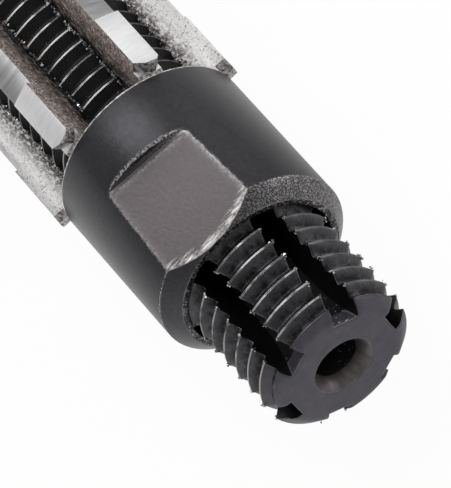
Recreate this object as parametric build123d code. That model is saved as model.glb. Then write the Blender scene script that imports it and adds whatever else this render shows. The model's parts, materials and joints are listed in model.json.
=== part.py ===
from build123d import *
from math import cos, radians, sin, sqrt, tan
import os

# Adjustable hand reamer: slotted and threaded body, six tapered blades, two nuts.
# All sizes are millimetres. The axis of the tool is X, the tip points to +X and the
# middle of the tool's length sits at the origin. Stations along the tool are given as
# distances from the tip and turned into X by along().

# Body
total_length = 130.0
thread_radius = 3.95
thread_pitch = 1.0
thread_depth = 0.45
first_crest = 1.09
thread_end = 79.5
plain_middle_start = 31.0
plain_middle_end = 61.5
tip_face_radius = 3.28
neck_radius = 2.8
neck_length = 1.5
shank_radius = 3.15
shank_end_chamfer = 0.4
square_across_flats = 5.0
square_length = 9.0

# Centre holes, 60 degree cones
tip_hole_mouth = 1.55
tip_hole_pilot = 1.15
tip_hole_depth = 4.0
rear_hole_mouth = 1.3
rear_hole_pilot = 0.8
rear_hole_depth = 3.4
hole_cone_half_angle = 30.0
drill_half_angle = 59.0

# Blades
blade_count = 6
blade_thickness = 1.3
blade_length = 40.0
blade_front = 15.2
guide_land_radius = 5.52
cutting_radius = 5.45
guide_land_start = 16.85
guide_land_end = 20.5
relief_angle = 11.0

# Slots, the floor rises towards the shank
slot_side_clearance = 0.015
slot_floor_clearance = 0.01
slot_floor_at_tip = 1.65
slot_taper = 1.5
slot_cutter_radius = 10.0
slot_ramp_start = 4.5
slot_ramp_end = 72.0

# Nuts, the rear one is the front one turned round
nut_radius = 5.05
nut_rim = 16.38
nut_length = 9.52
nut_collar = 3.25
nut_across_flats = 8.9
nut_flat_tilt = 1.8
nut_flat_skew = 6.0
nut_face_radius = 4.3
nut_face_chamfer = 0.79
nut_rim_chamfer = 0.12
nut_bore_clearance = 0.05
nut_cone_mouth = 4.8
nut_cone_half_angle = 30.0
blade_cone_clearance = 0.03
blade_cone_reach = 0.25
front_flat_turn = 6.6
rear_flat_turn = 90.0

# Sizes that follow from the ones above
slot_width = blade_thickness + 2 * slot_side_clearance
nut_bore = thread_radius + nut_bore_clearance
blade_rear = blade_front + blade_length
rear_nut_rim = blade_rear - (nut_rim - blade_front)


def along(station):
    """X of a station given as a distance from the tip."""
    return total_length / 2 - station


def floor_radius(station):
    """Radius of the slot floor at a station."""
    return slot_floor_at_tip + station * tan(radians(slot_taper))


def cone_radius(station):
    """Radius of the front nut's inner cone at a station."""
    return nut_cone_mouth - (nut_rim - station) * tan(radians(nut_cone_half_angle))


def turned(points):
    """Solid turned about the X axis from (station, radius) points."""
    outline = [(along(s), r) for s, r in points]
    return revolve(make_face(Polyline(*outline, close=True)), axis=Axis.X)


def centre_hole(end, inward, mouth, pilot, depth):
    """Outline of a centre hole, from its bottom out to the end face."""
    cone = (mouth - pilot) / tan(radians(hole_cone_half_angle))
    drill = pilot / tan(radians(drill_half_angle))
    return [
        (end + inward * (depth + drill), 0),
        (end + inward * depth, pilot),
        (end + inward * cone, pilot),
        (end, mouth),
    ]


def thread_outline():
    """Outline of the thread rings, from the chamfered tip to the last crest."""
    root = thread_radius - thread_depth
    slope = thread_depth / (thread_pitch / 2)
    first_root = first_crest - thread_pitch / 2
    start = (root + slope * first_root - tip_face_radius) / (1 + slope)
    points = [(0, tip_face_radius), (start, tip_face_radius + start), (first_root, root)]
    station = first_crest
    while station < thread_end - thread_pitch:
        if not plain_middle_start < station < plain_middle_end:
            points.append((station, thread_radius))
            if not plain_middle_start < station + thread_pitch < plain_middle_end:
                points.append((station + thread_pitch / 2, root))
        station += thread_pitch
    return points + [(station, thread_radius), (thread_end, thread_radius)]


def slot():
    """Cutter shape of one slot on the +Y side, its floor curving up where the cutter leaves."""
    lean = slot_cutter_radius * sin(radians(slot_taper))
    lift = slot_cutter_radius * cos(radians(slot_taper))
    top = thread_radius + 1.5
    ahead = -1.0

    def curved_floor(ramp_station, station):
        height = floor_radius(ramp_station) + lift
        return height - sqrt(slot_cutter_radius**2 - (station - ramp_station + lean) ** 2)

    rise = floor_radius(slot_ramp_end) + lift - top
    leave = slot_ramp_end - lean + sqrt(slot_cutter_radius**2 - rise**2)
    front_middle = (slot_ramp_start + ahead) / 2
    rear_middle = (slot_ramp_end + leave) / 2
    front = (along(ahead), curved_floor(slot_ramp_start, ahead))
    ramp_front = (along(slot_ramp_start), floor_radius(slot_ramp_start))
    ramp_rear = (along(slot_ramp_end), floor_radius(slot_ramp_end))
    front_bend = (along(front_middle), curved_floor(slot_ramp_start, front_middle))
    rear_bend = (along(rear_middle), curved_floor(slot_ramp_end, rear_middle))
    edges = [
        ThreePointArc(front, front_bend, ramp_front),
        Line(ramp_front, ramp_rear),
        ThreePointArc(ramp_rear, rear_bend, (along(leave), top)),
        Line((along(leave), top), (along(ahead), top)),
        Line((along(ahead), top), front),
    ]
    return extrude(make_face(edges), slot_width / 2, both=True)


def around(index):
    """Turn about the tool's axis that brings the +Y position to slot number index."""
    return Rot(X=index * 360 / blade_count)


def make_body():
    """Body with both centre holes, thread, slots, neck, shank and drive square."""
    neck_end = thread_end + neck_length
    front = centre_hole(0, 1, tip_hole_mouth, tip_hole_pilot, tip_hole_depth)
    rear = centre_hole(total_length, -1, rear_hole_mouth, rear_hole_pilot, rear_hole_depth)
    outline = front + thread_outline()
    outline += [(thread_end + thread_radius - neck_radius, neck_radius)]
    outline += [(neck_end, neck_radius), (neck_end + shank_radius - neck_radius, shank_radius)]
    outline += [(total_length - shank_end_chamfer, shank_radius)]
    outline += [(total_length, shank_radius - shank_end_chamfer)]
    solid = turned(outline + rear[::-1])
    cutter = slot()
    for index in range(blade_count):
        solid -= around(index) * cutter
    square_middle = along(total_length - square_length / 2)
    depth = shank_radius
    for side in range(4):
        flat = Box(square_length, 4 * shank_radius, depth)
        flat = Pos(square_middle, 0, square_across_flats / 2 + depth / 2) * flat
        solid -= Rot(X=90 * side) * flat
    return solid


def make_blade(index):
    """Tapered blade: turned outline, flat sides, sloping foot and ground relief."""
    step = blade_cone_clearance
    end_top = cone_radius(blade_front) - step
    cone_end = nut_rim + blade_cone_reach
    cone_top = cone_radius(cone_end) - step
    land_gap = guide_land_start - nut_rim
    outline = [
        (blade_front, 0), (blade_front, end_top), (cone_end, cone_top),
        (guide_land_start, guide_land_radius), (guide_land_end, guide_land_radius),
        (guide_land_end + 0.1, cutting_radius), (rear_nut_rim - land_gap, cutting_radius),
        (rear_nut_rim - blade_cone_reach, cone_top), (blade_rear, end_top), (blade_rear, 0),
    ]
    blank = turned(outline)
    foot_front = floor_radius(blade_front) + slot_floor_clearance
    foot_rear = floor_radius(blade_rear) + slot_floor_clearance
    top = guide_land_radius + 1
    side = make_face(Polyline(
        (along(blade_front), foot_front), (along(blade_rear), foot_rear),
        (along(blade_rear), top), (along(blade_front), top), close=True))
    slab = extrude(side, blade_thickness / 2, both=True)
    blade = blank & slab
    edge = blade_thickness / 2
    edge_height = sqrt(cutting_radius**2 - edge**2)
    length = rear_nut_rim - guide_land_end
    relief = Pos(0, 1, 0) * Box(length, 2, 4 * blade_thickness)
    relief = Rot(X=-relief_angle) * relief
    relief = Pos(along(guide_land_end + length / 2), edge_height, edge) * relief
    return around(index) * (blade - relief)


def make_nut(flat_turn):
    """Nut with a round collar, an inner cone that holds the blades and two wrench flats.

    The flats come a little nearer to the axis towards the face, and their step runs askew.
    """
    face = nut_rim - nut_length
    bore_start = nut_rim - (nut_cone_mouth - nut_bore) / tan(radians(nut_cone_half_angle))
    outline = [
        (face, nut_bore), (face, nut_face_radius), (face + nut_face_chamfer, nut_radius),
        (nut_rim - nut_rim_chamfer, nut_radius), (nut_rim, nut_radius - nut_rim_chamfer),
        (nut_rim, nut_cone_mouth), (bore_start, nut_bore),
    ]
    solid = turned(outline)
    flat_length = nut_length - nut_collar
    cutter_length = 2 * flat_length
    for side in (0, 180):
        flat = Pos(cutter_length / 2, 0, nut_radius / 2) * Box(cutter_length, 4 * nut_radius, nut_radius)
        flat = Rot(Y=nut_flat_tilt) * Rot(Z=-nut_flat_skew) * flat
        rise = flat_length / 2 * tan(radians(nut_flat_tilt))
        flat = Pos(along(nut_rim - nut_collar), 0, nut_across_flats / 2 + rise) * flat
        solid -= Rot(X=side) * flat
    return Rot(X=flat_turn) * solid


def turned_round(solid):
    """The front nut's shape moved to the rear and turned to face the blades."""
    middle = along((nut_rim + rear_nut_rim) / 2)
    return Pos(middle, 0, 0) * Rot(Z=180) * Pos(-middle, 0, 0) * solid


blackened = Color(0.10, 0.10, 0.11)
ground = Color(0.62, 0.61, 0.59)

pieces = {"body": (make_body(), blackened)}
for number in range(blade_count):
    pieces[f"blade_{number + 1}"] = (make_blade(number), ground)
pieces["front_nut"] = (make_nut(front_flat_turn), blackened)
pieces["rear_nut"] = (turned_round(make_nut(rear_flat_turn)), blackened)

os.makedirs("parts", exist_ok=True)
for name, (solid, colour) in pieces.items():
    solid.label = name
    solid.color = colour
    export_step(solid, f"parts/{name}.step")
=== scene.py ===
import bpy
import json
import random
from math import asin, cos, degrees, pi, radians, sin, sqrt, tan
from mathutils import Matrix, Vector

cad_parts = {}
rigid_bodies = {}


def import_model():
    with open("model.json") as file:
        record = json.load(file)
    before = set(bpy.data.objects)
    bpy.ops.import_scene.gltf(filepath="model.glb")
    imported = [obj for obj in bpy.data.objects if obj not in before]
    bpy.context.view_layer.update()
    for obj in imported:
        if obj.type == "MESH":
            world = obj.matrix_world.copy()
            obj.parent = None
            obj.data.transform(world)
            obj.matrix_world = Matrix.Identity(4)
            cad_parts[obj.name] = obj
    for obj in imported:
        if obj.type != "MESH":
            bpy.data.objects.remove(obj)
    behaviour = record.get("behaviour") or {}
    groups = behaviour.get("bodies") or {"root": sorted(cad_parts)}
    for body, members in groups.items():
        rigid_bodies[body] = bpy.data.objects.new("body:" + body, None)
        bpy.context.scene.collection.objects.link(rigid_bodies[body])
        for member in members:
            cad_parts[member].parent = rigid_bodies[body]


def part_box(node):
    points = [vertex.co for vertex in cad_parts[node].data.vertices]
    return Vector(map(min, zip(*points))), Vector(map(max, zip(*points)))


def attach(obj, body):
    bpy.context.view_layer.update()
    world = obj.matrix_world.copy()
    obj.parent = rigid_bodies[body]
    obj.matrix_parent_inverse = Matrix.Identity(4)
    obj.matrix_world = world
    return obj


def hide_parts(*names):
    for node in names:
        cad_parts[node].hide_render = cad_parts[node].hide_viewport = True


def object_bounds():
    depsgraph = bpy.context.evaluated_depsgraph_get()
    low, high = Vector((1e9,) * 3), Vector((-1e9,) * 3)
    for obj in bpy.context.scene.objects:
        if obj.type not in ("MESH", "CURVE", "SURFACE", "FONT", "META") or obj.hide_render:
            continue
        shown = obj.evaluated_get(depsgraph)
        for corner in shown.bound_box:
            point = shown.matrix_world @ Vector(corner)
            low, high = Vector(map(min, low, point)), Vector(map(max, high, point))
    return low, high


# Adjustable hand reamer, dressed over its construction model. The tool lies along X with its
# tip towards +X. Stations are distances from the tip. Lengths are written in mm and angles
# in degrees.

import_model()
cadBox = [list(corner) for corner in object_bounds()]
mm = 0.001
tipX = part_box("body")[1][0]
print("frame loaded")


# Modelling helpers
sameSpot = 0.0005  # points nearer than this are merged
sharpAngle = 28  # edges sharper than this are bevelled


def clearSelection():
    bpy.ops.object.select_all(action='DESELECT')


def activate(obj):
    clearSelection()
    obj.select_set(True)
    bpy.context.view_layer.objects.active = obj


def editAll(obj):
    activate(obj)
    bpy.ops.object.mode_set(mode='EDIT')
    bpy.ops.mesh.select_all(action='SELECT')


def endEdit():
    bpy.ops.object.mode_set(mode='OBJECT')


def applyModifier(obj, kind, **settings):
    activate(obj)
    modifier = obj.modifiers.new(kind.title(), kind)
    for key, value in settings.items():
        setattr(modifier, key, value)
    bpy.ops.object.modifier_apply(modifier=modifier.name)


def at(station, radius, across=0.0):
    return Vector((tipX - station * mm, radius * mm, across * mm))


def aboutX(angle):
    return Matrix.Rotation(radians(angle), 4, 'X')


def drawOutline(name, points, closed=False):
    # one vertex, extruded from point to point like a pen line
    clearSelection()
    bpy.ops.mesh.primitive_plane_add(size=mm, location=(0, 0, 0))
    obj = bpy.context.object
    obj.name = obj.data.name = name
    editAll(obj)
    bpy.ops.mesh.merge(type='CENTER')
    bpy.ops.transform.translate(value=points[0])
    for here, there in zip(points, points[1:]):
        bpy.ops.mesh.extrude_region_move(TRANSFORM_OT_translate={"value": there - here})
    if closed:
        bpy.ops.mesh.select_all(action='SELECT')
        bpy.ops.mesh.edge_face_add()
    endEdit()
    return obj


def tidyMesh(obj):
    editAll(obj)
    bpy.ops.mesh.remove_doubles(threshold=sameSpot * mm)
    bpy.ops.mesh.normals_make_consistent(inside=False)
    endEdit()


def turnOutline(name, points, steps):
    # a lathe: the outline is spun about the tool's axis
    obj = drawOutline(name, points)
    editAll(obj)
    bpy.ops.mesh.spin(steps=steps, angle=2 * pi, center=(0, 0, 0), axis=(1, 0, 0))
    endEdit()
    tidyMesh(obj)
    return obj


def pullOutline(name, points, shift):
    # a plate: the closed outline is pulled along shift
    obj = drawOutline(name, points, closed=True)
    editAll(obj)
    bpy.ops.mesh.extrude_region_move(TRANSFORM_OT_translate={"value": shift})
    endEdit()
    tidyMesh(obj)
    return obj


def extrudeOutline(name, points, thickness):
    # half of the thickness to each side
    shift = Vector((0, 0, thickness * mm))
    return pullOutline(name, [p - shift / 2 for p in points], shift)


def addBox(sizes, centre):
    clearSelection()
    bpy.ops.mesh.primitive_cube_add(size=1)
    box = bpy.context.object
    box.scale = [size * mm for size in sizes]  # sizes along X, Y and Z
    box.location = centre
    bpy.ops.object.transform_apply(location=True, rotation=True, scale=True)
    return box


def movedCopy(obj, name, move):
    copy = bpy.data.objects.new(name, obj.data.copy())
    bpy.context.collection.objects.link(copy)
    copy.data.transform(move)
    return copy


def joinAll(objs):
    clearSelection()
    for obj in objs:
        obj.select_set(True)
    bpy.context.view_layer.objects.active = objs[0]
    bpy.ops.object.join()
    return objs[0]


def carve(obj, cutter, operation='DIFFERENCE', solver='EXACT'):
    applyModifier(obj, 'BOOLEAN', object=cutter, operation=operation, solver=solver)
    bpy.data.objects.remove(cutter)


def breakEdges(obj, width, segments=3):
    applyModifier(obj, 'BEVEL', width=width * mm, segments=segments, limit_method='ANGLE',
                  angle_limit=radians(sharpAngle))


def shade(obj, angle):
    activate(obj)
    bpy.ops.object.shade_smooth_by_angle(angle=radians(angle))


# Sizes that more than one piece needs
layout = {
    "stations": 130.0,
    "threadRadius": 3.95, "threadPitch": 1.0, "threadDepth": 0.42, "firstCrest": 1.09,
    "threadEnd": 79.5, "handTurn": 88.85,  # the thread starts this far round the axis
    "slotCount": 6, "slotWidth": 1.33, "slotFloorAtTip": 1.65, "slotTaper": 1.5,
    "edgeBreak": (12, 58), "edgeBreakWidth": 0.36,
    "nutRim": 16.38, "nutCone": 4.8, "nutConeAngle": 30.0, "nutBore": 3.965,
    "bladeFront": 15.2, "bladeLength": 40.0, "bladeThickness": 1.3,
}
slotTurn = 360 / layout["slotCount"]
bladeRear = layout["bladeFront"] + layout["bladeLength"]
rearRim = bladeRear - (layout["nutRim"] - layout["bladeFront"])
middleStation = (layout["nutRim"] + rearRim) / 2
middleX = tipX - middleStation * mm


def floorRadius(station):
    return layout["slotFloorAtTip"] + station * tan(radians(layout["slotTaper"]))


# Body: turned blank, cut thread, six slots, drive square
bodyLook = {
    "faceRadius": 3.28, "neckRadius": 2.8, "neckLength": 1.5, "shankRadius": 3.15,
    "endChamfer": 0.4, "square": 5.0, "squareLength": 9.0, "squareOvershoot": 0.2,
    "squareCutter": (10, 2),  # width and height
    "faceEdge": ((0, -0.26), (0.02, -0.12), (0.07, 0.0), (0.16, 0.12)),  # station, rise
    "tipHole": (1.55, 1.15, 4.0), "rearHole": (1.3, 0.8, 3.4),  # mouth, pilot, depth
    "holeConeAngle": 30, "drillAngle": 59, "holeLip": 0.03, "holeLipInset": 0.01,
    "grooveFloor": ((0.03, 0.0), (0.1, 0.05)),  # half width, rise over the root
    "grooveMouth": ((0.45, 0.0), (0.46, 0.02), (0.46, 0.3)),  # half width, rise over the crest
    "cutter": 10.0, "rampStart": 4.8, "rampEnd": 72.0, "cutterClear": 1.5,
    "frontStations": (-1, 0, 1, 2, 3), "rearSteps": 6, "edgeBar": 1.7,
    "turnSteps": 144, "threadSteps": 48, "threadMerge": 0.0001, "smooth": 35,
}


def holeOutline(end, inward, sizes):
    mouth, pilot, depth = sizes
    lip = bodyLook["holeLip"]
    cone = (mouth - pilot) / tan(radians(bodyLook["holeConeAngle"]))
    drill = pilot / tan(radians(bodyLook["drillAngle"]))
    return [at(end + inward * (depth + drill), 0), at(end + inward * depth, pilot),
            at(end + inward * cone, pilot),
            at(end + inward * lip, mouth - bodyLook["holeLipInset"]), at(end, mouth + lip)]


def makeBlank():
    b, crest, end = bodyLook, layout["threadRadius"], layout["threadEnd"]
    neckEnd, rear = end + b["neckLength"], layout["stations"]
    points = holeOutline(0, 1, b["tipHole"])
    points += [at(station, b["faceRadius"] + rise) for station, rise in b["faceEdge"]]
    points += [at(crest - b["faceRadius"], crest), at(end, crest)]
    points += [at(end + crest - b["neckRadius"], b["neckRadius"]), at(neckEnd, b["neckRadius"])]
    points += [at(neckEnd + b["shankRadius"] - b["neckRadius"], b["shankRadius"])]
    points += [at(rear - b["endChamfer"], b["shankRadius"])]
    points += [at(rear, b["shankRadius"] - b["endChamfer"])]
    points += holeOutline(rear, -1, b["rearHole"])[::-1]
    return turnOutline("reamerBody", points, b["turnSteps"])


def makeThreadCutter():
    # section of one groove, rolled along the tool as a right-hand helix
    b, pitch, crest = bodyLook, layout["threadPitch"], layout["threadRadius"]
    root = crest - layout["threadDepth"]
    turns = int(layout["threadEnd"] / pitch)
    side = [(x, root + rise) for x, rise in b["grooveFloor"]]
    side += [(x, crest + rise) for x, rise in b["grooveMouth"]]
    section = [(-x, r) for x, r in side[::-1]] + side
    start = layout["firstCrest"] + turns * pitch - pitch / 2
    obj = drawOutline("threadCutter", [at(start - x, r) for x, r in section], closed=True)
    editAll(obj)
    bpy.ops.mesh.delete(type='ONLY_FACE')
    endEdit()
    steps = b["threadSteps"]
    applyModifier(obj, 'SCREW', axis='X', angle=2 * pi, steps=steps, render_steps=steps,
                  screw_offset=pitch * mm, iterations=turns + 1, use_merge_vertices=False)
    editAll(obj)
    bpy.ops.mesh.remove_doubles(threshold=b["threadMerge"] * mm)
    bpy.ops.mesh.select_all(action='DESELECT')
    # both open ends get a cap
    bpy.ops.mesh.select_mode(type='EDGE')
    bpy.ops.mesh.select_non_manifold(extend=False, use_wire=False, use_boundary=True,
                                     use_multi_face=False, use_non_contiguous=False,
                                     use_verts=False)
    bpy.ops.mesh.edge_face_add()
    bpy.ops.mesh.select_mode(type='VERT')
    bpy.ops.mesh.select_all(action='SELECT')
    bpy.ops.mesh.normals_make_consistent(inside=False)
    endEdit()
    obj.data.transform(aboutX(layout["handTurn"]))
    return obj


def runOut(ramp, station):
    # the round cutter leaves the slot on an arc
    taper, radius = radians(layout["slotTaper"]), bodyLook["cutter"]
    ahead = station - ramp + radius * sin(taper)
    return floorRadius(ramp) + radius * cos(taper) - sqrt(radius ** 2 - ahead ** 2)


def makeSlotCutter():
    b = bodyLook
    taper, radius = radians(layout["slotTaper"]), b["cutter"]
    front, rear, top = b["rampStart"], b["rampEnd"], layout["threadRadius"] + b["cutterClear"]
    lean, lift = radius * sin(taper), radius * cos(taper)
    leave = rear - lean + sqrt(radius ** 2 - (floorRadius(rear) + lift - top) ** 2)
    points = [at(s, runOut(front, s)) for s in b["frontStations"]]
    points += [at(front, floorRadius(front)), at(rear, floorRadius(rear))]
    for i in range(1, b["rearSteps"]):
        s = rear + (leave - rear) * i / b["rearSteps"]
        points.append(at(s, runOut(rear, s)))
    points += [at(leave, top), at(b["frontStations"][0], top)]
    one = extrudeOutline("slotCutter", points, layout["slotWidth"])
    rest = [movedCopy(one, f"slotCutter{i}", aboutX(slotTurn * i))
            for i in range(1, layout["slotCount"])]
    return joinAll([one] + rest)


def makeBody():
    b, body = bodyLook, makeBlank()
    print("  blank turned", len(body.data.polygons))
    carve(body, makeThreadCutter(), solver='MANIFOLD')
    print("  thread cut", len(body.data.polygons))
    carve(body, makeSlotCutter(), solver='MANIFOLD')
    print("  slots cut", len(body.data.polygons))
    # bars turned on edge break the slots' upper edges between the nuts
    start, end = layout["edgeBreak"]
    bar, half = b["edgeBar"], layout["slotWidth"] / 2
    corner = layout["threadRadius"] - half - layout["edgeBreakWidth"]
    lift = Matrix.Translation((0, (corner + bar / sqrt(2)) * mm, 0))
    for i in range(layout["slotCount"]):
        box = addBox((end - start, bar, bar), at((start + end) / 2, 0))
        box.data.transform(aboutX(slotTurn * i) @ lift @ aboutX(45))
        carve(body, box, solver='MANIFOLD')
    # four flats make the drive square
    over, length, (wide, tall) = b["squareOvershoot"], b["squareLength"], b["squareCutter"]
    middle = layout["stations"] - length * (0.5 - over / 2)
    for i in range(4):
        box = addBox((length * (1 + over), wide, tall), at(middle, 0, b["square"] / 2 + tall / 2))
        box.data.transform(aboutX(90 * i))
        carve(body, box, solver='MANIFOLD')
    return body


# Grains of metal that the cutter pushed up along the slots, and chips at the slots' front ends
burrLook = {
    "seed": 4, "size": (0.045, 0.1), "wide": (0.6, 1.5), "tall": (0.5, 1),
    "later": 0.7,  # size of a crest's further grains beside its first one
    "nutCrest": 14,  # the front nut hides this crest, and the next values change behind it
    "perCrest": (6, 18), "spread": (0.14, 0.5), "larger": (1, 1.25),
    "hang": 0.03, "drop": 0.14, "lean": (0.9, 1.1),
    "tumble": (6, 0.3),  # largest turn in radians, and the Z of its axis
    "chips": 26, "chip": (0.03, 0.07), "chipStations": (0.06, 1.7), "chipAcross": 0.6,
}


def makeBurrs():
    look = burrLook
    random.seed(look["seed"])
    clearSelection()
    # four-sided, because the slots carry thousands of them
    bpy.ops.mesh.primitive_cone_add(vertices=4, radius1=mm, depth=2 * mm)
    pyramid = bpy.context.object
    crest, pitch, half = layout["threadRadius"], layout["threadPitch"], layout["slotWidth"] / 2
    rows = []
    for slotNumber in range(layout["slotCount"]):
        grains = []
        around = aboutX(slotTurn * slotNumber)
        for edge in (-1, 1):
            turn = slotTurn * slotNumber + edge * degrees(asin(half / crest))
            lead = pitch * (((turn - layout["handTurn"] + 180) % 360) - 180) / 360
            for number in range(int(bodyLook["rampEnd"] / pitch)):
                behind = number > look["nutCrest"]
                broken = layout["edgeBreakWidth"] * behind
                for part in range(look["perCrest"][behind]):
                    spread = look["spread"][behind] * (part > 0)
                    offset = random.uniform(-spread, spread)
                    station = layout["firstCrest"] + (number + offset) * pitch - lead
                    size = random.uniform(*look["size"]) * (look["later"] if part else 1)
                    size *= look["larger"][behind]
                    down = random.random() * (part > 0)
                    drop = look["hang"] + look["drop"] * down + broken * down
                    out = half * random.uniform(*look["lean"]) + broken * (1 - down)
                    place = Matrix.Translation(at(station, crest - drop, out * edge))
                    most, forward = look["tumble"]
                    wild = Matrix.Rotation(random.random() * most, 4,
                                           (random.random(), random.random(), forward))
                    wide = Matrix.Diagonal((size * random.uniform(*look["wide"]), size,
                                            size * random.uniform(*look["tall"]), 1))
                    grains.append(movedCopy(pyramid, "grain", around @ place @ wild @ wide))
        for number in range(look["chips"]):
            # chips lie on the slot's rising front end
            station = random.uniform(*look["chipStations"])
            across = look["chipAcross"] * random.uniform(-1, 1)
            place = Matrix.Translation(at(station, runOut(bodyLook["rampStart"], station), across))
            wide = Matrix.Diagonal([random.uniform(*look["chip"]) for axis in range(3)] + [1])
            grains.append(movedCopy(pyramid, "grain", around @ place @ wide))
        rows.append(joinAll(grains))
        bpy.data.orphans_purge()  # joining leaves thousands of empty meshes, which slow it down
    bpy.data.objects.remove(pyramid)
    return joinAll(rows)


body = makeBody()
shade(body, bodyLook["smooth"])
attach(body, "reamer_body")
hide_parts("body")
burrs = makeBurrs()
burrs.name = burrs.data.name = "slotBurrs"
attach(burrs, "reamer_body")
print("body made", len(body.data.polygons), len(burrs.data.polygons))


# Nuts: turned, two wrench flats milled from the outer end
nutLook = {
    "radius": 5.05, "length": 9.52, "collar": 3.45, "flats": 8.76, "tilt": 1.8, "skew": 6.0,
    "faceRadius": 4.3, "faceChamfer": 0.79, "frontTurn": 5.7, "rearTurn": 90.0, "edge": 0.04,
    "mouth": 4.03, "mouthDepth": 0.06, "cornerRound": 0.35, "cornerSegments": 5,
    "rimEdge": ((0.15, 0), (0.06, 0.035), (0, 0.12)),  # distance from the rim, inset
    "cutter": (20, 3),  # width and height
    "turnSteps": 160, "smooth": 30,
}


def makeNut(name, flatTurn):
    n, rim = nutLook, layout["nutRim"]
    face = rim - n["length"]
    coneDepth = (layout["nutCone"] - layout["nutBore"]) / tan(radians(layout["nutConeAngle"]))
    points = [at(face + n["mouthDepth"], layout["nutBore"]), at(face, n["mouth"]),
              at(face, n["faceRadius"]), at(face + n["faceChamfer"], n["radius"])]
    points += [at(rim - back, n["radius"] - inset) for back, inset in n["rimEdge"]]
    points += [at(rim, layout["nutCone"]), at(rim - coneDepth, layout["nutBore"])]
    nut = turnOutline(name, points + points[:1], n["turnSteps"])
    length, (wide, tall) = n["length"] - n["collar"], n["cutter"]
    rise = length / 2 * tan(radians(n["tilt"]))
    place = Matrix.Translation((at(rim - n["collar"], 0).x, 0, (n["flats"] / 2 + rise) * mm))
    tilt = Matrix.Rotation(radians(n["tilt"]), 4, 'Y')
    skew = Matrix.Rotation(radians(-n["skew"]), 4, 'Z')
    for side in (0, 180):
        box = addBox((2 * length, wide, tall), (length * mm, 0, tall / 2 * mm))
        breakEdges(box, n["cornerRound"], n["cornerSegments"])
        box.data.transform(aboutX(side) @ place @ tilt @ skew)
        carve(nut, box)
    nut.data.transform(aboutX(flatTurn))
    breakEdges(nut, n["edge"])
    return nut


frontNut = makeNut("frontNut", nutLook["frontTurn"])
rearNut = makeNut("rearNut", nutLook["rearTurn"])
# the rear nut is turned round about the middle between the two
rearNut.data.transform(Matrix.Translation((middleX, 0, 0)) @ Matrix.Rotation(pi, 4, 'Z')
                       @ Matrix.Translation((-middleX, 0, 0)))
for nut, node in ((frontNut, "front_nut"), (rearNut, "rear_nut")):
    shade(nut, nutLook["smooth"])
    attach(nut, node)
    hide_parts(node)
print("nuts made")


# Blades: ground land with relief, conical ends, sloping foot
bladeLook = {
    "guideRadius": 5.52, "cutRadius": 5.45, "guideEnd": 20.5, "landStep": 0.1, "landGap": 0.47,
    "shoulder": ((0.3, 0.1), (0.38, 0)),  # distance behind the nut's rim, inset
    "corners": (((17.1, 0.7), (16.6, -0.1), (16, -0.1), (16, 0.7)),
                ((17.0, -0.7), (16.6, -0.3), (16, -0.3), (16, -0.7))),  # station, across
    "cornerFoot": 4.9, "cornerHeight": 1.5,
    "relief": 11.0, "reliefCutter": (2, 6),  # height and width
    "coneGap": 0.03, "coneReach": 0.25, "footGap": 0.01, "core": 0.5, "blankTop": 7,
    "edge": 0.025, "edgeSegments": 2, "turnSteps": 160, "smooth": 30,
}


def makeBlade(name):
    b, rim, front = bladeLook, layout["nutRim"], layout["bladeFront"]
    slope = tan(radians(layout["nutConeAngle"]))

    def coneRadius(station):
        return layout["nutCone"] - (rim - station) * slope - b["coneGap"]

    coneEnd, coneTop = rim + b["coneReach"], coneRadius(rim + b["coneReach"])
    points = [at(front, b["core"]), at(front, coneRadius(front)), at(coneEnd, coneTop)]
    points += [at(rim + back, b["guideRadius"] - inset) for back, inset in b["shoulder"]]
    points += [at(b["guideEnd"], b["guideRadius"]),
               at(b["guideEnd"] + b["landStep"], b["cutRadius"]),
               at(rearRim - b["landGap"], b["cutRadius"]), at(rearRim - b["coneReach"], coneTop),
               at(bladeRear, coneRadius(front)), at(bladeRear, b["core"])]
    blade = turnOutline(name, points + points[:1], b["turnSteps"])
    foot = [floorRadius(s) + b["footGap"] for s in (front, bladeRear)]
    slab = extrudeOutline("slab", [at(front, foot[0]), at(bladeRear, foot[1]),
                                   at(bladeRear, b["blankTop"]), at(front, b["blankTop"])],
                          layout["bladeThickness"])
    carve(blade, slab, 'INTERSECT')
    # the relief leaves the cutting edge on one side
    edge = layout["bladeThickness"] / 2
    top = sqrt(b["cutRadius"] ** 2 - edge ** 2)
    length, (height, wide) = rearRim - b["guideEnd"], b["reliefCutter"]
    box = addBox((length, height, wide), (0, height / 2 * mm, 0))
    box.data.transform(Matrix.Translation(at(b["guideEnd"] + length / 2, top, edge))
                       @ aboutX(-b["relief"]))
    carve(blade, box)
    # both front corners of the guide land are cut off
    low, tall = Vector((0, b["cornerFoot"] * mm, 0)), Vector((0, b["cornerHeight"] * mm, 0))
    for corners in b["corners"]:
        outline = [at(s, 0, across) + low for s, across in corners]
        carve(blade, pullOutline("corner", outline, tall))
    breakEdges(blade, b["edge"], b["edgeSegments"])
    return blade


firstBlade = makeBlade("blade1")
blades = [firstBlade] + [movedCopy(firstBlade, f"blade{i + 1}", aboutX(slotTurn * i))
                         for i in range(1, layout["slotCount"])]
for i, blade in enumerate(blades):
    shade(blade, bladeLook["smooth"])
    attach(blade, f"blade_{i + 1}")
    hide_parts(f"blade_{i + 1}")
print("blades made")


# Materials
def linear(hexColour):
    parts = [int(hexColour[i:i + 2], 16) / 255 for i in (1, 3, 5)]
    return [c / 12.92 if c <= 0.04045 else ((c + 0.055) / 1.055) ** 2.4 for c in parts] + [1.0]


def addNode(tree, kind, settings=None, inputs=None):
    # an input takes either a value or another node's output
    node = tree.nodes.new(kind)
    for key, value in (settings or {}).items():
        setattr(node, key, value)
    for key, value in (inputs or {}).items():
        if isinstance(value, bpy.types.NodeSocket):
            tree.links.new(value, node.inputs[key])
        else:
            node.inputs[key].default_value = value
    return node


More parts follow.
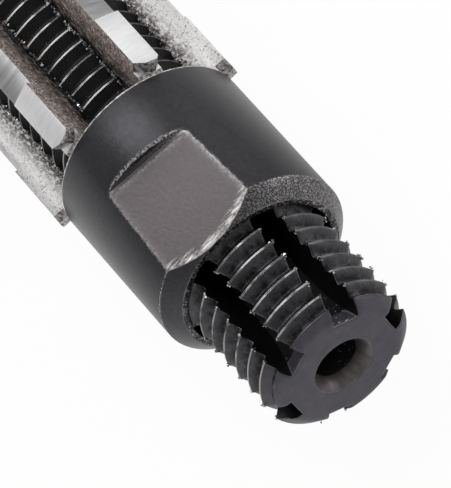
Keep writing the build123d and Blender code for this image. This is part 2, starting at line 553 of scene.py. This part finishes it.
def newMaterial(name):
    material = bpy.data.materials.new(name)
    material.use_nodes = True
    material.node_tree.nodes.clear()
    return material, material.node_tree


def dress(obj, *materials):
    obj.data.materials.clear()
    for material in materials:
        obj.data.materials.append(material)


def paintFaces(obj, test, index):
    # faces are picked by their middle (station, radius) and their normal
    for face in obj.data.polygons:
        middle = face.center / mm
        if test(tipX / mm - middle.x, sqrt(middle.y ** 2 + middle.z ** 2), face.normal):
            face.material_index = index


# What a steel has unless its own look says otherwise. Sizes are in mm. Real oxide crystals,
# grinding marks and pits are some hundredths of a mm or less, too fine to show in the render, so
# all of these patterns are drawn as coarse as they need to show.
plainLook = {
    "stretch": (1, 1, 1), "noiseScale": 0.5, "tones": (0.35, 0.65), "fleckSoft": 0.08,
    "stainAndShadeStretch": (1, 1, 1), "stainAndShadeNoise": (4.0, 0.7), "stainAndShadeBreaks": (0.4, 0.55, 0.25),
    "scuffSize": 0.13, "scuffStretch": (1.7, 0.3, 1), "scuffNoise": (3.0, 0.7),
    "scuffBreaks": (0.46, 0.6), "scuffFull": 0.3, "scuffShade": 0.7,
    "edgeGrain": 0.16, "edgeBreaks": (0.42, 0.58), "edgeLow": 0.1, "edgeFrom": 0.999,
    "edgeFull": 0.86, "edgeSideLow": 0.65, "bumpStretch": (1, 1, 1), "samples": 8,
}
product, difference = {"operation": 'MULTIPLY'}, {"operation": 'SUBTRACT'}


def grain(tree, size, stretch=(1, 1, 1), detail=3.0, rough=0.6):
    # noise whose lumps are about size mm across, longer along an axis with a small stretch value
    place = addNode(tree, 'ShaderNodeTexCoord')
    mapping = addNode(tree, 'ShaderNodeMapping', None, {
        "Vector": place.outputs["Object"], "Scale": [s / (size * mm) for s in stretch]})
    noise = addNode(tree, 'ShaderNodeTexNoise', None, {
        "Vector": mapping.outputs[0], "Scale": plainLook["noiseScale"],
        "Detail": detail, "Roughness": rough})
    return noise.outputs[0]


def lathePlace(tree):
    # X, Y and the distance from the tool's axis, in metres
    place = addNode(tree, 'ShaderNodeTexCoord').outputs["Object"]
    parts = addNode(tree, 'ShaderNodeSeparateXYZ', None, {0: place})
    spread = addNode(tree, 'ShaderNodeVectorMath', product, {0: place, 1: (0, 1, 1)})
    radius = addNode(tree, 'ShaderNodeVectorMath', {"operation": 'LENGTH'}, {0: spread.outputs[0]})
    return parts.outputs[0], parts.outputs[1], radius.outputs["Value"]


def towardsLitSide(tree, mask, limits, low=0.0):
    # painted light: the mask grows across the tool, from the first Y to the second, so a highlight
    # or glints show on one side only
    reach = addNode(tree, 'ShaderNodeMapRange', None, {
        0: lathePlace(tree)[1], 1: limits[0] * mm, 2: limits[1] * mm, 3: low})
    return addNode(tree, 'ShaderNodeMath', product, {0: mask, 1: reach.outputs[0]}).outputs[0]


def fleckLayer(tree, look):
    start = look["fleckFrom"]
    flecks = grain(tree, look["fleckSize"], detail=2.0)
    mask = addNode(tree, 'ShaderNodeMapRange', None, {
        0: flecks, 1: start, 2: start + look["fleckSoft"]}).outputs[0]
    if "fleckLitSide" in look:
        mask = towardsLitSide(tree, mask, look["fleckLitSide"])
    return [(mask, look["fleck"])]


def stainAndShadeLayer(tree, look):
    # patchy, and stronger towards the tool's axis: painted shade in the thread's roots and on the
    # blades' channel sides, and darker towards the body on the other blade sides
    deep = addNode(tree, 'ShaderNodeMapRange', None, {
        0: lathePlace(tree)[2], 1: look["stainAndShadeTop"] * mm, 2: look["stainAndShadeFull"] * mm})
    start, end, low = look["stainAndShadeBreaks"]
    patches = grain(tree, look["stainAndShadeSize"], look["stainAndShadeStretch"], *look["stainAndShadeNoise"])
    patch = addNode(tree, 'ShaderNodeMapRange', None, {0: patches, 1: start, 2: end, 3: low})
    mask = addNode(tree, 'ShaderNodeMath', product, {0: deep.outputs[0], 1: patch.outputs[0]})
    return [(mask.outputs[0], look["stainAndShade"])]


def scuffLayers(tree, look):
    # scratches in a band along the chamfer's cone, alike on both nuts
    alongX, radius = lathePlace(tree)[::2]
    fromMiddle = addNode(tree, 'ShaderNodeMath', difference, {0: alongX, 1: look["scuffMiddle"]})
    outward = addNode(tree, 'ShaderNodeMath', {"operation": 'ABSOLUTE'}, {0: fromMiddle.outputs[0]})
    cone = addNode(tree, 'ShaderNodeMath', difference,
                   {0: look["scuffReach"], 1: outward.outputs[0]})
    depth = addNode(tree, 'ShaderNodeMath', difference, {0: cone.outputs[0], 1: radius})
    width = look["scuffWidth"] * mm
    band = addNode(tree, 'ShaderNodeMapRange', None, {
        0: depth.outputs[0], 1: width, 2: look["scuffFull"] * width}).outputs[0]
    start, end = look["scuffBreaks"]
    scratches = grain(tree, look["scuffSize"], look["scuffStretch"], *look["scuffNoise"])
    marks = addNode(tree, 'ShaderNodeMapRange', None, {0: scratches, 1: start, 2: end})
    shaded = addNode(tree, 'ShaderNodeMath', product, {0: band, 1: look["scuffShade"]})
    scratched = addNode(tree, 'ShaderNodeMath', product, {0: band, 1: marks.outputs[0]})
    return [(shaded.outputs[0], look["scuffBase"]), (scratched.outputs[0], look["scuff"])]


def edgeLayer(tree, look):
    # lighter where the surface leaves a rounded copy of itself, broken up by grain: worn edges, and
    # on the crest, nut and flat steels also painted highlight
    start, end = look["edgeBreaks"]
    breaks = addNode(tree, 'ShaderNodeMapRange', None, {
        0: grain(tree, look["edgeGrain"], detail=2.0), 1: start, 2: end, 3: look["edgeLow"]})
    shape = addNode(tree, 'ShaderNodeNewGeometry')
    rounded = addNode(tree, 'ShaderNodeBevel', {"samples": look["samples"]},
                      {"Radius": look["edgeWidth"] * mm})
    same = addNode(tree, 'ShaderNodeVectorMath', {"operation": 'DOT_PRODUCT'},
                   {0: rounded.outputs[0], 1: shape.outputs["Normal"]})
    edge = addNode(tree, 'ShaderNodeMapRange', None, {
        0: same.outputs["Value"], 1: look["edgeFrom"], 2: look["edgeFull"]})
    mask = addNode(tree, 'ShaderNodeMath', product,
                   {0: edge.outputs[0], 1: breaks.outputs[0]}).outputs[0]
    if "edgeLitSide" in look:
        mask = towardsLitSide(tree, mask, look["edgeLitSide"], look["edgeSideLow"])
    return [(mask, look["edge"])]


def steel(name, ownLook):
    # one metal: two tones in grain, then its layers of flecks, stain and painted shade, scuffs, and
    # lightened edges for wear and painted highlight
    look = {**plainLook, **ownLook}
    material, tree = newMaterial(name)
    start, end = look["tones"]
    tone = addNode(tree, 'ShaderNodeMapRange', None, {
        0: grain(tree, look["grain"], look["stretch"]), 1: start, 2: end})
    layers = [(tone.outputs[0], look["light"])]
    for key, makeLayers in (("fleck", fleckLayer), ("stainAndShade", stainAndShadeLayer), ("scuff", scuffLayers),
                            ("edge", edgeLayer)):
        if key in look:
            layers += makeLayers(tree, look)
    colour = linear(look["dark"])
    for mask, tint in layers:
        colour = addNode(tree, 'ShaderNodeMix', {"data_type": 'RGBA'},
                         {0: mask, 6: colour, 7: linear(tint)}).outputs[2]
    finish = {"Base Color": colour, "Metallic": look["metallic"], "Roughness": look["roughness"]}
    if "bump" in look:
        height = grain(tree, look["bumpSize"], look["bumpStretch"])
        relief = {"Strength": 1.0, "Distance": look["bump"] * mm, "Height": height}
        if "round" in look:
            soft = addNode(tree, 'ShaderNodeBevel', {"samples": look["samples"]},
                           {"Radius": look["round"] * mm})
            relief["Normal"] = soft.outputs[0]
        finish["Normal"] = addNode(tree, 'ShaderNodeBump', None, relief).outputs[0]
    shader = addNode(tree, 'ShaderNodeBsdfPrincipled', None, finish)
    addNode(tree, 'ShaderNodeOutputMaterial', None, {"Surface": shader.outputs[0]})
    return material


# black oxide over cut thread: near black, some edges bare, and darker towards the roots as painted
# shade
threadSteel = steel("blackOxideThread", {
    "dark": "#3b3a3e", "light": "#525055", "grain": 0.2, "metallic": 0.7, "roughness": 0.4,
    "stainAndShade": "#080708", "stainAndShadeTop": 3.93, "stainAndShadeFull": 3.6, "stainAndShadeSize": 0.3,
    "edge": "#a8a5a4", "edgeWidth": 0.05, "edgeLow": 0.0, "edgeGrain": 0.4,
    "bump": 0.02, "bumpSize": 0.08, "round": 0.2})
# the same thread between the nuts, down in the channels between the blades: painted near black as
# their shade
shadedThreadSteel = steel("channelShadeThread", {
    "dark": "#121112", "light": "#1e1d1f", "grain": 0.25, "metallic": 0.7, "roughness": 0.4,
    "edge": "#8b8887", "edgeWidth": 0.05, "edgeLow": 0.0, "edgeGrain": 0.4,
    "bump": 0.012, "bumpSize": 0.1})
# tops of the thread, rubbed bare in places, with painted highlights along their two edges and
# bright flecks, strongest on one side of the tool
crestSteel = steel("crestWearAndHighlight", {
    "dark": "#3d3b3c", "light": "#5c595a", "grain": 0.2, "metallic": 0.7, "roughness": 0.45,
    "fleck": "#a19e9d", "fleckSize": 0.8, "fleckFrom": 0.45, "fleckLitSide": (3.4, 1.0),
    "edge": "#dcd9d7", "edgeWidth": 0.035, "edgeGrain": 0.5, "edgeLow": 0.15, "edgeFull": 0.95,
    "edgeLitSide": (3.6, 1.6), "edgeSideLow": 0.2})
# black oxide on the faced tip: even dark grey, slightly blue
faceSteel = steel("blackOxideFace", {
    "dark": "#4a484e", "light": "#545158", "grain": 0.3, "metallic": 0.6, "roughness": 0.5,
    "edge": "#a09d9e", "edgeWidth": 0.06, "edgeLow": 0.0, "edgeGrain": 0.5,
    "bump": 0.006, "bumpSize": 0.1, "round": 0.3})
# black oxide on the plain shank: neutral, corners of the square rubbed
shankSteel = steel("blackOxideShank", {
    "dark": "#39393a", "light": "#414142", "grain": 0.3, "stretch": (2, 0.5, 0.5),
    "metallic": 0.8, "roughness": 0.4,
    "edge": "#9a9897", "edgeWidth": 0.08, "edgeGrain": 0.3, "edgeLow": 0.0,
    "bump": 0.0015, "bumpSize": 0.2})
# oxide in milled slots and drilled holes, painted near black as the shade in them, with a few bare
# grains
slotSteel = steel("slotOxideAndShade", {
    "dark": "#0c0b0b", "light": "#1d1a19", "grain": 0.3, "metallic": 0.5, "roughness": 0.5,
    "fleck": "#8b8683", "fleckSize": 0.1, "fleckFrom": 0.66, "bump": 0.01, "bumpSize": 0.1})
# countersink of the centre hole: brown grey wall
holeSteel = steel("blackOxideHole", {
    "dark": "#565251", "light": "#6b6665", "grain": 0.2, "stretch": (0.3, 1, 1),
    "metallic": 0.7, "roughness": 0.45, "edge": "#b5b0ad", "edgeWidth": 0.08,
    "bump": 0.006, "bumpSize": 0.1})
# bare burrs left by the slot cutter: bright specks
burrSteel = steel("bareBurr", {
    "dark": "#454342", "light": "#e9e7e5", "grain": 0.2, "metallic": 1.0, "roughness": 0.3})
# turned nut, black oxide: soft sheen, fine grain; edges worn and lightened as painted highlight
# lines, such as along the rim and the flats' step
nutSteel = steel("blackOxideNut", {
    "dark": "#373639", "light": "#3d3c3f", "grain": 0.15, "metallic": 0.85, "roughness": 0.36,
    "edge": "#d8d5d4", "edgeWidth": 0.28, "edgeGrain": 0.07, "edgeFull": 0.96, "edgeLow": 0.0,
    "bump": 0.008, "bumpSize": 0.08, "round": 0.25})
# milled flats: oxide over tool marks, browner and lighter, edges scuffed bare and painted with a
# wide bright sheen on one side
scuffReach = (rearRim - layout["nutRim"]) / 2 + nutLook["length"] + nutLook["faceRadius"]
flatSteel = steel("milledFlat", {
    "dark": "#605a5c", "light": "#666062", "grain": 0.1, "metallic": 0.5, "roughness": 0.5,
    "scuff": "#f4f2f0", "scuffBase": "#3b393a", "scuffWidth": 0.6,
    "scuffMiddle": middleX, "scuffReach": scuffReach * mm,
    "edge": "#d6d2d1", "edgeWidth": 0.75, "edgeGrain": 0.08, "edgeFull": 0.965, "edgeLow": 0.35,
    "edgeLitSide": (-1.5, 1.5), "bump": 0.012, "bumpSize": 0.07, "round": 0.3})
# chamfer of the nut: coarse turning marks, with bright flecks painted on one side as glints
chamferSteel = steel("turnedChamfer", {
    "dark": "#3c3b3f", "light": "#434245", "grain": 0.12, "metallic": 0.85, "roughness": 0.36,
    "fleck": "#939090", "fleckSize": 0.035, "fleckFrom": 0.5, "fleckLitSide": (-1.0, 2.5),
    "edge": "#a5a2a2", "edgeWidth": 0.12, "edgeGrain": 0.12, "edgeFull": 0.93, "edgeLow": 0.3,
    "bump": 0.01, "bumpSize": 0.05, "round": 0.2})
# face and bore edge of the nut: dark, ringed, with bare specks
mouthSteel = steel("nutMouth", {
    "dark": "#1e1c1d", "light": "#4e4a4c", "grain": 0.1, "stretch": (3, 0.6, 0.6),
    "metallic": 0.7, "roughness": 0.45, "fleck": "#b5b1b0", "fleckSize": 0.06, "fleckFrom": 0.56,
    "bump": 0.01, "bumpSize": 0.08})
# rim of the nut: a thin line painted bright as a highlight
rimSteel = steel("rimHighlight", {
    "dark": "#7c7977", "light": "#fdfbf9", "grain": 0.12, "metallic": 0.5, "roughness": 0.45})
# ground lands of the blades: bare bright steel, marks across the blade
landSteel = steel("groundLand", {
    "dark": "#e9e9e9", "light": "#f4f4f4", "grain": 0.3, "stretch": (3, 0.5, 0.5),
    "metallic": 1.0, "roughness": 0.42,
    "bump": 0.0015, "bumpSize": 0.12, "bumpStretch": (3, 0.4, 0.4)})
# relief behind the guide land: ground across, rippled
reliefSteel = steel("groundRelief", {
    "dark": "#959494", "light": "#b3b2b2", "grain": 0.3, "stretch": (1.5, 0.2, 0.2),
    "metallic": 1.0, "roughness": 0.42,
    "bump": 0.0015, "bumpSize": 0.2, "bumpStretch": (1.5, 0.2, 0.2)})
# front ends of the blades: grey, mottled
endSteel = steel("bladeEnd", {
    "dark": "#4a4644", "light": "#cbc7c5", "grain": 0.08, "metallic": 1.0, "roughness": 0.45,
    "bump": 0.012, "bumpSize": 0.1})
# sides of the blades: ground lengthwise, pitted, darker towards the body
sideSteel = steel("groundSide", {
    "dark": "#aaa8a8", "light": "#c0bebe", "grain": 0.35, "stretch": (0.1, 1, 1),
    "metallic": 0.75, "roughness": 0.45, "fleck": "#6b6464", "fleckSize": 0.05, "fleckFrom": 0.59,
    "stainAndShade": "#332d2b", "stainAndShadeTop": 4.95, "stainAndShadeFull": 4.1, "stainAndShadeSize": 0.075,
    "stainAndShadeStretch": (0.7, 1, 1), "bump": 0.015, "bumpSize": 0.08, "bumpStretch": (0.6, 1, 1)})
# sides that face the top and bottom channels: a darker copy of the side steel, painted as the
# channels' shade, and brown and mottled all over
shadedStainedSteel = steel("shadedStainedSide", {
    "dark": "#574e4b", "light": "#a99c96", "grain": 0.13, "metallic": 0.15, "roughness": 0.55,
    "fleck": "#e4dad4", "fleckSize": 0.05, "fleckFrom": 0.56,
    "stainAndShade": "#1e1918", "stainAndShadeTop": 5.3, "stainAndShadeFull": 3.8, "stainAndShadeSize": 0.12,
    "stainAndShadeStretch": (0.4, 1, 1), "bump": 0.02, "bumpSize": 0.07})


# Which faces get which steel. Values are stations, radii and parts of the face's normal. A rule
# gives the steel's place in dress() and a test, where s is the station, r the radius and n the
# normal. Later rules paint over earlier ones.
bodyPaint = {
    "faceDepth": 0.8, "faceTilt": 0.6, "holeMouth": 1.56, "pilotWall": 1.2, "tipHoleEnd": 8,
    "rearHoleStart": 122, "shankStart": 79, "channelShadeStart": 15, "channelShadeShort": 10, "channelShadeRadius": 3.5,
    "slotStart": 0.02, "slotRunOut": 6, "slotTilt": 0.65,
    "slotNarrow": 3.45, "slotWide": 3.6, "slotWiden": 7,
    "frontRamp": 1.05, "frontRampTop": 3.3, "frontRampTilt": -0.25,
    "crestRadius": 3.9, "crestTilt": 0.1,
}
p = bodyPaint
bodyRules = (
    (1, lambda s, r, n: s < p["faceDepth"] and n.x > p["faceTilt"] and r > p["holeMouth"]),
    (6, lambda s, r, n: s > p["shankStart"]),
    (3, lambda s, r, n: r < p["holeMouth"] and (s < p["tipHoleEnd"] or s > p["rearHoleStart"])),
    # painted shade: the pilot of the tip's centre hole gets the near-black slot steel
    (2, lambda s, r, n: r < p["pilotWall"] and s < p["tipHoleEnd"]),
    # painted shade: the thread between the nuts, down in the channels between the blades
    (5, lambda s, r, n: p["channelShadeStart"] < s < layout["threadEnd"] - p["channelShadeShort"]
        and r > p["channelShadeRadius"]),
    # painted shade: the slots' walls and floors get the near-black slot steel
    (2, lambda s, r, n: p["slotStart"] < s < bodyLook["rampEnd"] + p["slotRunOut"]
        and p["holeMouth"] < r < (p["slotNarrow"] if s < p["slotWiden"] else p["slotWide"])
        and abs(n.x) < p["slotTilt"]),
    (1, lambda s, r, n: p["slotStart"] < s < p["frontRamp"]
        and p["holeMouth"] < r < p["frontRampTop"] and n.x < p["frontRampTilt"]),
    # the thread's tops, with painted highlights along their edges
    (4, lambda s, r, n: r > p["crestRadius"] and abs(n.x) < p["crestTilt"]
        and s < layout["threadEnd"]),
)
dress(body, threadSteel, faceSteel, slotSteel, holeSteel, crestSteel, shadedThreadSteel, shankSteel)
for index, test in bodyRules:
    paintFaces(body, test, index)
dress(burrs, burrSteel)

nutPaint = {
    "flatFacing": 0.985, "flatTop": 5.06, "flatTilt": (0.02, 0.05),
    "filletFacing": 0.6, "filletTop": 4.98, "filletReach": 0.6,
    "chamferTilt": (0.5, 0.9), "chamferRadius": 4.25,
    "mouthTilt": 0.4, "mouthRadius": 4.28, "mouthFromRim": 8,
    "rimTilt": (0.3, 0.9), "rimRadius": 4.92, "rimReach": 0.2,
}
q = nutPaint


def fromRim(station):
    # distance from the nearer nut's rim, the same way on both nuts
    return abs(station - middleStation) - middleStation + layout["nutRim"]


frontWay, rearWay = [Vector((0, cos(radians(angle)), sin(radians(angle))))
                     for angle in (90 + nutLook["frontTurn"], 90 - nutLook["rearTurn"])]
for nut, way in ((frontNut, frontWay), (rearNut, rearWay)):
    nutRules = (
        (1, lambda s, r, n: abs(n.dot(way)) > q["flatFacing"] and r < q["flatTop"]
            and q["flatTilt"][0] < abs(n.x) < q["flatTilt"][1]),
        (1, lambda s, r, n: q["filletFacing"] < abs(n.dot(way)) < q["flatFacing"]
            and r < q["filletTop"] and abs(fromRim(s) - nutLook["collar"]) < q["filletReach"]),
        (2, lambda s, r, n: q["chamferTilt"][0] < abs(n.x) < q["chamferTilt"][1]
            and r > q["chamferRadius"]),
        (3, lambda s, r, n: abs(n.x) > q["mouthTilt"] and r < q["mouthRadius"]
            and fromRim(s) > q["mouthFromRim"]),
        # painted highlight: the rim's chamfer gets the bright rim steel
        (4, lambda s, r, n: q["rimTilt"][0] < abs(n.x) < q["rimTilt"][1]
            and r > q["rimRadius"] and fromRim(s) < q["rimReach"]),
    )
    dress(nut, nutSteel, flatSteel, chamferSteel, mouthSteel, rimSteel)
    for index, test in nutRules:
        paintFaces(nut, test, index)

# the sides with painted channel shade and stain face the top and bottom channels: place of the
# blade, side of it
bladePaint = {"sideFacing": 0.9, "reliefTilt": 0.5, "reliefStart": 20.6, "endTilt": 0.3,
              "shadedAndStained": {1: 1, 2: -1, 4: 1, 5: -1}}
for i, blade in enumerate(blades):
    turn, facing = radians(slotTurn * i), bladePaint["sideFacing"]
    across = Vector((0, -sin(turn), cos(turn)))
    shadedAndStained = across * bladePaint["shadedAndStained"].get(i, 0)
    bladeRules = (
        (1, lambda s, r, n: abs(n.dot(across)) > facing),
        # painted shade: sides facing the top and bottom channels get the darker, stained steel
        (4, lambda s, r, n: n.dot(shadedAndStained) > facing),
        (3, lambda s, r, n: abs(n.dot(across)) < bladePaint["reliefTilt"]
            and s > bladePaint["reliefStart"]),
        (2, lambda s, r, n: abs(n.x) > bladePaint["endTilt"]),
    )
    dress(blade, landSteel, sideSteel, endSteel, reliefSteel, shadedStainedSteel)
    for index, test in bladeRules:
        paintFaces(blade, test, index)
print("materials made")


# Stage, light and camera
stageLook = {"floorGap": 0.02, "size": 3000.0, "floor": "#f8f8f8", "glow": 0.96,
             "mirrorLimits": (-10, 30), "mirrorLow": 0.25, "worldStrength": 0.52}
clearSelection()
bpy.ops.mesh.primitive_plane_add(size=stageLook["size"] * mm,
                                 location=(0, 0, cadBox[0][2] - stageLook["floorGap"] * mm))
floor = bpy.context.object
floor.name = "floor"
# matt white paper: plain and pale, white to the camera and in the metal's reflections, which
# fade towards the tool's far side
material, tree = newMaterial("whitePaper")
white = linear("#ffffff")
diffuse = addNode(tree, 'ShaderNodeBsdfDiffuse', None, {"Color": linear(stageLook["floor"])})
glow = addNode(tree, 'ShaderNodeEmission', None, {"Color": white, "Strength": 1.0})
ray = addNode(tree, 'ShaderNodeLightPath')
mirrorFrom, mirrorTo = stageLook["mirrorLimits"]
reach = addNode(tree, 'ShaderNodeMapRange', None, {
    0: lathePlace(tree)[1], 1: mirrorFrom * mm, 2: mirrorTo * mm,
    3: 1.0, 4: stageLook["mirrorLow"]})
mirrored = addNode(tree, 'ShaderNodeMath', product,
                   {0: ray.outputs["Is Glossy Ray"], 1: reach.outputs[0]})
seen = addNode(tree, 'ShaderNodeMath', {"operation": 'MAXIMUM'},
               {0: ray.outputs["Is Camera Ray"], 1: mirrored.outputs[0]})
share = addNode(tree, 'ShaderNodeMath', product, {0: seen.outputs[0], 1: stageLook["glow"]})
mix = addNode(tree, 'ShaderNodeMixShader', None,
              {0: share.outputs[0], 1: diffuse.outputs[0], 2: glow.outputs[0]})
addNode(tree, 'ShaderNodeOutputMaterial', None, {"Surface": mix.outputs[0]})
dress(floor, material)

scene = bpy.context.scene
scene.view_settings.view_transform = 'Standard'
world = bpy.data.worlds.new("studio")
scene.world = world
world.use_nodes = True
world.node_tree.nodes.clear()
background = addNode(world.node_tree, 'ShaderNodeBackground', None,
                     {"Color": white, "Strength": stageLook["worldStrength"]})
addNode(world.node_tree, 'ShaderNodeOutputWorld', None, {"Surface": background.outputs[0]})

lampLook = {  # place, aim, size, watts
    "keyLamp": ((-125, 5, 243), (50, 0, 0), (180, 180), 0.34),
    "fillLamp": ((125, 260, 40), (62, 0, 0), (60, 60), 0.1),
    "sideLamp": ((-125, 208, 126), (40, 0, 0), (160, 160), 0.05),
}
for name, (place, aim, size, watts) in lampLook.items():
    data = bpy.data.lights.new(name, 'AREA')
    data.shape, data.size, data.size_y = 'RECTANGLE', size[0] * mm, size[1] * mm
    data.energy = watts
    lamp = bpy.data.objects.new(name, data)
    bpy.context.collection.objects.link(lamp)
    lamp.location = Vector(place) * mm
    lamp.rotation_euler = (Vector(aim) * mm - lamp.location).to_track_quat('-Z', 'Y').to_euler()

# the camera looks at aim from fromAxis degrees off the tool's axis, rolled as the photo is
cameraLook = {"lens": 404.8, "distance": 254.96, "aim": (55.5, -0.32, 0.0),
              "fromAxis": 54.16, "aboutAxis": 88.85, "roll": 41.77, "clip": (0.01, 10)}
angle, about, roll = (radians(cameraLook[k]) for k in ("fromAxis", "aboutAxis", "roll"))
axis = Vector((1, 0, 0))
outward = Vector((0, cos(about), sin(about)))
toCamera = cos(angle) * axis + sin(angle) * outward
upright = -sin(angle) * axis + cos(angle) * outward
side = Vector((0, sin(about), -cos(about)))
right = cos(roll) * side - sin(roll) * upright
up = sin(roll) * side + cos(roll) * upright
cameraData = bpy.data.cameras.new("photoCamera")
cameraData.lens = cameraLook["lens"]
cameraData.clip_start, cameraData.clip_end = cameraLook["clip"]
camera = bpy.data.objects.new("photoCamera", cameraData)
bpy.context.collection.objects.link(camera)
turn = Matrix((right, up, toCamera)).transposed().to_4x4()
place = Vector(cameraLook["aim"]) * mm + toCamera * cameraLook["distance"] * mm
camera.matrix_world = Matrix.Translation(place) @ turn
scene.camera = camera
print("stage made")
